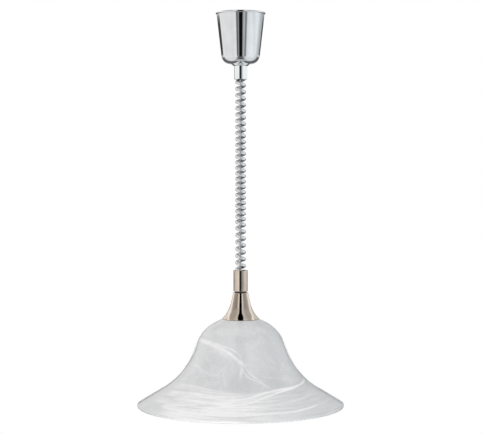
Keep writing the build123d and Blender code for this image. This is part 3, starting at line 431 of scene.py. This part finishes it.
# Each finish has its function, and mostly a dark and a light colour, a range of roughness and its grain
finish_table = {
    "bright_nickel": (turned_metal, (0.73, 0.745, 0.76), (0.79, 0.80, 0.815), (0.03, 0.06), 0.04),
    "chrome": (turned_metal, (0.85, 0.865, 0.87), (0.89, 0.905, 0.91), (0.02, 0.05), 0.01),
    "satin_nickel": (turned_metal, (0.60, 0.51, 0.42), (0.68, 0.59, 0.50), (0.05, 0.09), 0.04),
    "zinc_steel": (plated_steel, (0.50, 0.51, 0.52), (0.68, 0.69, 0.68), (0.40, 0.55)),
    "spring_steel": (plated_steel, (0.12, 0.14, 0.20), (0.28, 0.30, 0.36), (0.18, 0.30)),
    "rope_steel": (plated_steel, (0.74, 0.74, 0.75), (0.88, 0.88, 0.89), (0.45, 0.58)),
    "drum_plastic": (moulded, (0.055, 0.055, 0.06), (0.09, 0.09, 0.095), (0.40, 0.55)),
    "guide_plastic": (moulded, (0.80, 0.79, 0.73), (0.87, 0.86, 0.80), (0.32, 0.42)),
    "gland_plastic": (moulded, (0.55, 0.55, 0.56), (0.64, 0.64, 0.64), (0.35, 0.48)),
    "cord_pvc": (clear_cord,),
    "block_plastic": (moulded, (0.80, 0.79, 0.74), (0.87, 0.86, 0.81), (0.28, 0.40)),
    "brass": (plated_steel, (0.62, 0.44, 0.17), (0.80, 0.60, 0.27), (0.16, 0.30)),
    "core_brown": (moulded, (0.14, 0.055, 0.025), (0.19, 0.08, 0.035), (0.28, 0.38)),
    "core_blue": (moulded, (0.03, 0.11, 0.40), (0.05, 0.16, 0.50), (0.28, 0.38)),
    "core_earth": (earth_wire,),
    "core_white": (moulded, (0.76, 0.75, 0.71), (0.84, 0.83, 0.79), (0.35, 0.48)),
    "ferrule_metal": (plated_steel, (0.62, 0.62, 0.63), (0.75, 0.75, 0.76), (0.28, 0.42)),
    "holder_black": (moulded, (0.018, 0.018, 0.018), (0.035, 0.034, 0.033), (0.28, 0.40)),
    "ceramic": (moulded, (0.80, 0.79, 0.75), (0.88, 0.87, 0.84), (0.12, 0.22), 300.0, 0.06),
    "gasket": (moulded, (0.03, 0.03, 0.03), (0.055, 0.055, 0.055), (0.65, 0.8), 700.0, 0.3),
    "alabaster_glass": (alabaster,),
    "opal_glass": (opal,),
    "bulb_metal": (plated_steel, (0.62, 0.62, 0.63), (0.76, 0.76, 0.77), (0.18, 0.32), bulb_thread),
    "black_glass": (moulded, (0.008, 0.008, 0.008), (0.02, 0.02, 0.02), (0.06, 0.12), 400.0, 0.04),
}
finishes = {name: make(name, *values) for name, (make, *values) in finish_table.items()}


def dress(piece, slot):
    """Gives a piece the finish of a material slot."""
    piece.data.materials.clear()
    piece.data.materials.append(finishes[slot])


for part in frame["record"]["subparts"]:
    node = nodes[part["node"]]
    dress(node, part["material_slot"])


# Cords: smooth lines, and meshes that follow them
def spline_points(route, steps):
    """Points read back from a smooth spline that has the route as its control points."""
    curve = bpy.data.curves.new("route", "CURVE")
    curve.dimensions = "3D"
    curve.resolution_u = steps
    spline = curve.splines.new("NURBS")
    spline.points.add(len(route) - 1)
    for point, spot in zip(spline.points, route):
        point.co = (*spot, 1.0)
    spline.order_u = 3
    spline.use_endpoint_u = True
    holder = bpy.data.objects.new("route", curve)
    mesh = bpy.data.meshes.new_from_object(holder)
    line = np.array([vertex.co for vertex in mesh.vertices])
    bpy.data.objects.remove(holder)
    bpy.data.curves.remove(curve)
    bpy.data.meshes.remove(mesh)
    return line


def frames_along(line):
    """Two directions square to the line at each point, turning with it as little as they can."""
    ahead = np.gradient(line, axis=0)
    ahead /= np.linalg.norm(ahead, axis=1)[:, None]
    askew = (0.31, 0.83, 0.47)
    side = np.cross(ahead[0], askew)
    sides = []
    for heading in ahead:
        side = side - heading * (side @ heading)
        side = side / np.linalg.norm(side)
        sides.append(side)
    sides = np.array(sides)
    return sides, np.cross(ahead, sides)


def outside(radius):
    """Radius of the control points of a smooth spline that runs round at the radius given."""
    return radius * 4 / (3 + math.cos(2 * math.pi / points_per_turn))


def lengths_along(line):
    """Distance from the start to each point."""
    steps = np.linalg.norm(np.diff(line, axis=0), axis=1)
    return np.concatenate(([0.0], np.cumsum(steps)))


class Tubes:
    """A mesh of one or more closed round tubes, each with the line's own places kept by ring."""

    def __init__(self):
        self.vertices = []
        self.faces = []
        self.wraps = []
        self.centres = []

    def add(self, line, radius, sides):
        across, up = frames_along(line)
        rounds = lengths_along(line) / (2 * math.pi * radius)
        first = len(self.vertices)
        angles = 2 * math.pi * np.arange(sides) / sides
        for spot, a, b in zip(line, across, up):
            for angle in angles:
                self.vertices.append(spot + radius * (math.cos(angle) * a + math.sin(angle) * b))
                self.centres.append(spot)
        for ring in range(len(line) - 1):
            for side in range(sides):
                following = (side + 1) % sides
                here, there = first + ring * sides, first + (ring + 1) * sides
                self.faces.append((here + side, here + following, there + following, there + side))
                low, high = rounds[ring], rounds[ring + 1]
                start, stop = side / sides, (side + 1) / sides
                self.wraps.append(((start, low), (stop, low), (stop, high), (start, high)))
        last = first + (len(line) - 1) * sides
        self.faces.append(tuple(first + side for side in reversed(range(sides))))
        self.faces.append(tuple(last + side for side in range(sides)))
        self.wraps += [((0.0, 0.0),) * sides] * 2

    def piece(self, name, slot):
        mesh = bpy.data.meshes.new(name)
        mesh.from_pydata([tuple(v) for v in self.vertices], [], self.faces)
        wrap = mesh.uv_layers.new(name="around_and_along")
        spots = [spot for face in self.wraps for spot in face]
        wrap.data.foreach_set("uv", np.array(spots, np.float32).ravel())
        mesh.polygons.foreach_set("use_smooth", [len(face) == 4 for face in self.faces])
        mesh.update()
        made = bpy.data.objects.new(name, mesh)
        scene.collection.objects.link(made)
        dress(made, slot)
        return made


def stretch(piece):
    """Bakes the piece's placement into its mesh."""
    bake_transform(piece)


def top_extra(turn):
    """Length that the upper curls add, which fades out over the first turns."""
    turn = min(turn, top_stretch_turns)
    return top_stretch * (turn - max(turn, 0) ** 2 / (2 * top_stretch_turns))


def bottom_extra(turn):
    """Length that the lower curls add, which sets in over a short ramp."""
    past = max(turn - bottom_stretch_start, 0)
    ramp = min(past, bottom_stretch_ramp)
    return bottom_stretch * (ramp**2 / (2 * bottom_stretch_ramp) + past - ramp)


def curl_level(turn):
    """Height of the cord's middle line after a number of turns."""
    return first_curl_z - curl_pitch * turn - top_extra(turn) - bottom_extra(turn)


def curl_route():
    """Control points of the curly cord: out of the upper gland, the curls, and into the lower gland."""
    low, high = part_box("curly_cord")
    reach = outside(coil_r)
    start = curl_level(first_turn) + top_lift
    route = [(coil_r, 0, high.z + (start - high.z) * part / 3) for part in (0, 1, 2)]
    for point in range(round((last_turn - first_turn) * points_per_turn) + 1):
        turn = first_turn + point / points_per_turn
        early = max(0, (first_turn + top_ease - turn) / top_ease)
        level = curl_level(turn) + top_lift * early**2
        angle = 2 * math.pi * turn
        route.append((reach * math.cos(angle), reach * math.sin(angle), level))
    route += [(x * MM, y * MM, z * MM) for x, y, z in lower_bend]
    route.append((route[-1][0], 0, low.z))
    return route


def curly_cord():
    """The curly flex, which goes from the upper gland to the lower one."""
    route = curl_route()
    line = spline_points(route, steps=3)
    tubes = Tubes()
    tubes.add(line, cord_d / 2, sides=14)
    cord = tubes.piece("curly_flex", "cord_pvc")
    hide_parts("curly_cord")
    stretch(cord)


curly_cord()


def add_strands(tubes, line, lay):
    """Twists the rope's strands round a line, with one straight strand in the middle."""
    across, up = frames_along(line)
    lengths = lengths_along(line)
    strand_r = rope_d / 6
    twist_r = rope_d / 2 - strand_r
    for strand in range(rope_strands):
        angle = 2 * math.pi * (strand / rope_strands + lengths / lay)
        away = np.cos(angle)[:, None] * across + np.sin(angle)[:, None] * up
        tubes.add(line + twist_r * away, strand_r, sides=6)
    tubes.add(line, strand_r, sides=6)


def pull_rope():
    """The steel rope that carries the lamp, on its axis from the drum to the ferrule."""
    low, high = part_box("pull_rope")
    route = [(0, 0, high.z + (low.z - high.z) * part / 8) for part in range(9)]
    line = spline_points(route, steps=40)
    tubes = Tubes()
    add_strands(tubes, line, rope_lay)
    rope = tubes.piece("steel_rope", "rope_steel")
    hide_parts("pull_rope")
    stretch(rope)


pull_rope()


def rope_winding():
    """The rope's turns on the drum, which end where the rope leaves it straight down."""
    middle = Vector((-drum_rope_r, 0, drum_z))
    step = 2 * math.pi / points_per_turn
    reach = outside(drum_rope_r)
    route = []
    for point in range(rope_turns * points_per_turn + 1):
        back = rope_turns * points_per_turn - point
        angle = -step * back
        side = -rope_pitch * back / points_per_turn
        route.append(middle + Vector((reach * math.cos(angle), side, -reach * math.sin(angle))))
    tubes = Tubes()
    add_strands(tubes, spline_points(route, steps=7), rope_lay)
    winding = tubes.piece("wound_rope", "rope_steel")
    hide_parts("rope_winding")
    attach(winding, "drum")


rope_winding()


# Stage: floor, light and camera
def floor():
    """A pale floor that fades to white far from the lamp, and can be looked through from below."""
    mesh = bpy.data.meshes.new("floor")
    shape = bmesh.new()
    bmesh.ops.create_circle(shape, cap_ends=True, segments=96, radius=floor_radius)
    shape.to_mesh(mesh)
    shape.free()
    made = bpy.data.objects.new("floor", mesh)
    made.location.z = floor_z
    made.visible_glossy = False
    scene.collection.objects.link(made)
    material = bpy.data.materials.new("floor")
    material.use_nodes = True
    mesh.materials.append(material)
    paint = Paint(material.node_tree)
    tree = paint.tree
    tree.nodes.clear()
    x, y = paint.split(paint.coords())[:2]
    far = paint.span(paint.reach(x, y), *floor_fade)
    seen = put(tree, "ShaderNodeLightPath").outputs["Is Camera Ray"]
    below = put(tree, "ShaderNodeNewGeometry").outputs["Backfacing"]
    pale = put(tree, "ShaderNodeBsdfDiffuse", {"Color": rgba(floor_grey)}).outputs[0]
    white = put(tree, "ShaderNodeEmission", {"Color": rgba(1.0), "Strength": 1.0}).outputs[0]
    clear = put(tree, "ShaderNodeBsdfTransparent").outputs[0]
    top = put(tree, "ShaderNodeMixShader", {0: paint.times(far, seen), 1: pale, 2: white}).outputs[0]
    sided = put(tree, "ShaderNodeMixShader", {0: below, 1: top, 2: clear}).outputs[0]
    put(tree, "ShaderNodeOutputMaterial", {0: sided})


# Brightness round the room by degrees from the camera's side, at four heights from below upwards
ring_top = 1.4
low_ring = ((-180, 0.85), (-121, 0.85), (-110, 0.94), (-61, 0.92), (-44, 0.88), (-26, 0.96),
            (-23, 0.75), (-20, 0.13), (-16, 0.13), (-13, 0.36), (-10, 0.34), (-7, 0.01), (8, 0.0),
            (11, 0.25), (14, 0.50), (21, 0.58), (24, 0.27), (30, 0.27), (35, 0.88), (51, 1.0),
            (69, 1.04), (89, 0.98), (104, 0.80), (124, 0.70), (180, 0.85))
sleeve_ring = ((-180, 0.25), (-145, 0.28), (-120, 0.45), (-100, 0.70), (-90, 0.92), (-54, 0.92),
               (-40, 1.15), (-24, 1.10), (-19, 0.50), (-15, 0.02), (12, 0.02), (16, 0.36), (36, 0.44),
               (52, 0.66), (64, 0.83), (74, 0.93), (100, 0.96), (125, 0.80), (145, 0.55), (180, 0.50))
eye_ring = ((-180, 0.80), (-140, 1.10), (-124, 1.10), (-112, 0.92), (-40, 0.97), (-26, 0.90),
            (-18, 0.02), (13, 0.03), (19, 0.36), (32, 0.68), (60, 1.06), (95, 1.02), (113, 0.90),
            (124, 1.25), (140, 1.25), (180, 0.80))
high_ring = ((-180, 0.95), (-140, 1.25), (-113, 1.35), (-104, 1.0), (-96, 0.60), (-85, 0.50),
             (-70, 0.44), (-55, 0.38), (-44, 0.42), (-34, 0.55), (-27, 1.10), (-19, 1.15), (-15, 0.60),
             (-13, 0.0), (13, 0.0), (15, 0.60), (19, 1.10), (27, 1.05), (34, 0.55), (44, 0.45),
             (55, 0.42), (66, 0.46), (82, 0.52), (95, 0.66), (102, 1.0), (112, 1.30), (120, 1.22),
             (138, 1.0), (180, 0.95))
# Half the width of the dark gap overhead, by height
overhead_gap = ((0.0, 0.2), (0.55, 0.2), (0.8, 0.19), (0.93, 0.23), (0.97, 0.19), (1.0, 0.06))


def studio():
    """A white room with a dark gap between two big panels in front, and a white background to look at."""
    world = bpy.data.worlds.new("studio")
    scene.world = world
    world.use_nodes = True
    paint = Paint(world.node_tree)
    tree = paint.tree
    tree.nodes.clear()
    x, y, z = paint.split(paint.coords("Generated"))
    aside = paint.math("ABSOLUTE", x)
    turn = paint.math("ARCTAN2", x, paint.times(y, -1.0))
    bearing = paint.plus(paint.times(turn, 0.5 / math.pi), 0.5)

    def ring(points):
        spots = [(angle / 360 + 0.5, value / ring_top) for angle, value in points]
        return paint.curve(bearing, spots, sharp=True)

    # Panels round the room. Every brightness from here on is a share of ring_top, until the tint
    light = paint.mix(paint.span(z, -0.096, -0.091), ring(low_ring), ring(sleeve_ring))
    light = paint.mix(paint.span(z, -0.075, -0.070), light, ring(eye_ring))
    light = paint.mix(paint.span(z, 0.085, 0.12), light, ring(high_ring))
    # Overhead the gap ends in a dark patch, and light stretches behind it show in the cone's foot
    gap = paint.span(paint.minus(aside, paint.curve(z, overhead_gap)), -0.025, 0.025, 1.0, 0.0)
    patch = paint.times(gap, paint.span(y, -0.05, 0.15, 1.0, 0.0))
    ceiling = paint.mix(paint.span(aside, 0.2, 0.6), 0.60, 0.40)
    cone_foot = paint.times(paint.span(y, 0.22, 0.38), paint.span(aside, 0.3, 0.5))
    ceiling = paint.mix(cone_foot, ceiling, paint.mix(paint.span(y, 0.42, 0.6), 0.95, 0.5))
    light = paint.mix(paint.span(z, 0.45, 0.6), light, paint.mix(patch, ceiling, 0.0))
    # The ground is grey, darker under the gap, and dark far behind, which outlines the cup's foot
    ground = paint.mix(paint.span(aside, 0.15, 0.45), 0.10, 0.62)
    light = paint.mix(paint.span(z, -0.75, -0.35, 1.0, 0.0), light, ground)
    under = paint.times(paint.span(y, 0.4, 0.6), paint.span(z, -0.25, -0.12, 1.0, 0.0))
    light = paint.mix(under, light, 0.11)
    # Far behind, the room is grey, with a light strip that edges the cone
    behind = paint.math("ABSOLUTE", turn)
    grey = paint.times(paint.span(behind, 2.2, 2.7), paint.span(z, 0.15, 0.65, 1.0, 0.0))
    dip = paint.math("COSINE", paint.times(turn, 0.5))
    cone_edge = paint.band(paint.minus(z, paint.times(dip, 0.43)), -0.094, 0.014, 0.004)
    lower = paint.mix(paint.span(z, -0.08, -0.05), 0.11, 0.24)
    upper = paint.mix(paint.span(x, -0.2, 0.2), 0.62, 0.44)
    room = paint.mix(paint.span(z, 0.04, 0.12), lower, upper)
    light = paint.mix(grey, light, paint.mix(cone_edge, room, 1.1))
    # The cup's right side grows dull towards its edge, and dark strips edge the cup and the tube
    cup_line = paint.plus(z, paint.times(dip, 0.218))
    cup_side = paint.times(paint.band(cup_line, 0.085, 0.045, 0.015), paint.span(turn, 1.7, 2.2))
    light = paint.mix(cup_side, light, 0.40)
    cup_ends = paint.plus(paint.span(turn, 2.3, 2.6), paint.span(turn, -2.27, -2.06, 1.0, 0.0))
    cup_edge = paint.times(paint.band(cup_line, 0.085, 0.016, 0.005), cup_ends)
    light = paint.mix(cup_edge, light, 0.04)
    tube_end = paint.span(turn, -2.45, -2.3, 1.0, 0.0)
    tube_edge = paint.times(paint.band(z, 0.064, 0.008, 0.003), tube_end)
    light = paint.mix(tube_edge, light, 0.04)
    # Light from the right is a little cool
    neutral = (ring_top, ring_top, ring_top)
    cool = (0.95 * ring_top, 0.985 * ring_top, ring_top)
    tint = paint.mix(paint.span(x, -0.2, 0.6), neutral, cool)
    light = put(tree, "ShaderNodeVectorMath", {0: light, 1: tint}, operation="MULTIPLY").outputs[0]
    lit = paint.mix(put(tree, "ShaderNodeLightPath").outputs["Is Camera Ray"], light, 1.0)
    back = put(tree, "ShaderNodeBackground", {"Color": lit, "Strength": 1.0})
    put(tree, "ShaderNodeOutputWorld", {0: back.outputs[0]})


def softbox(name, spot, watts, colour):
    """A soft lamp that polished metal doesn't show."""
    lamp = bpy.data.lights.new(name, "AREA")
    lamp.shape = "RECTANGLE"
    lamp.size = softbox_size
    lamp.size_y = softbox_size
    lamp.energy = watts
    lamp.color = colour
    made = bpy.data.objects.new(name, lamp)
    made.location = spot
    made.rotation_euler = (Vector(light_aim) - Vector(spot)).to_track_quat("-Z", "Y").to_euler()
    made.visible_glossy = False
    scene.collection.objects.link(made)


def camera():
    """The photograph's view: level with the middle of the cord and pitched a little down."""
    data = bpy.data.cameras.new("camera")
    data.sensor_fit = "HORIZONTAL"
    data.sensor_width = sensor_mm
    data.lens = focal_pixels / image_width * sensor_mm
    made = bpy.data.objects.new("camera", data)
    made.location = (camera_side, -camera_distance, camera_height)
    pitch = math.atan((middle_row - horizon_row) / focal_pixels)
    made.rotation_euler = (math.pi / 2 - pitch, 0, 0)
    scene.collection.objects.link(made)
    scene.camera = made


floor()
studio()
softbox("key", spot=(-0.6, -3.0, 0.1), watts=44.5, colour=(1.0, 0.995, 0.99))
softbox("fill", spot=(1.0, -2.9, 0.0), watts=8.0, colour=(0.94, 0.98, 1.0))
camera()
scene.view_settings.view_transform = "Standard"
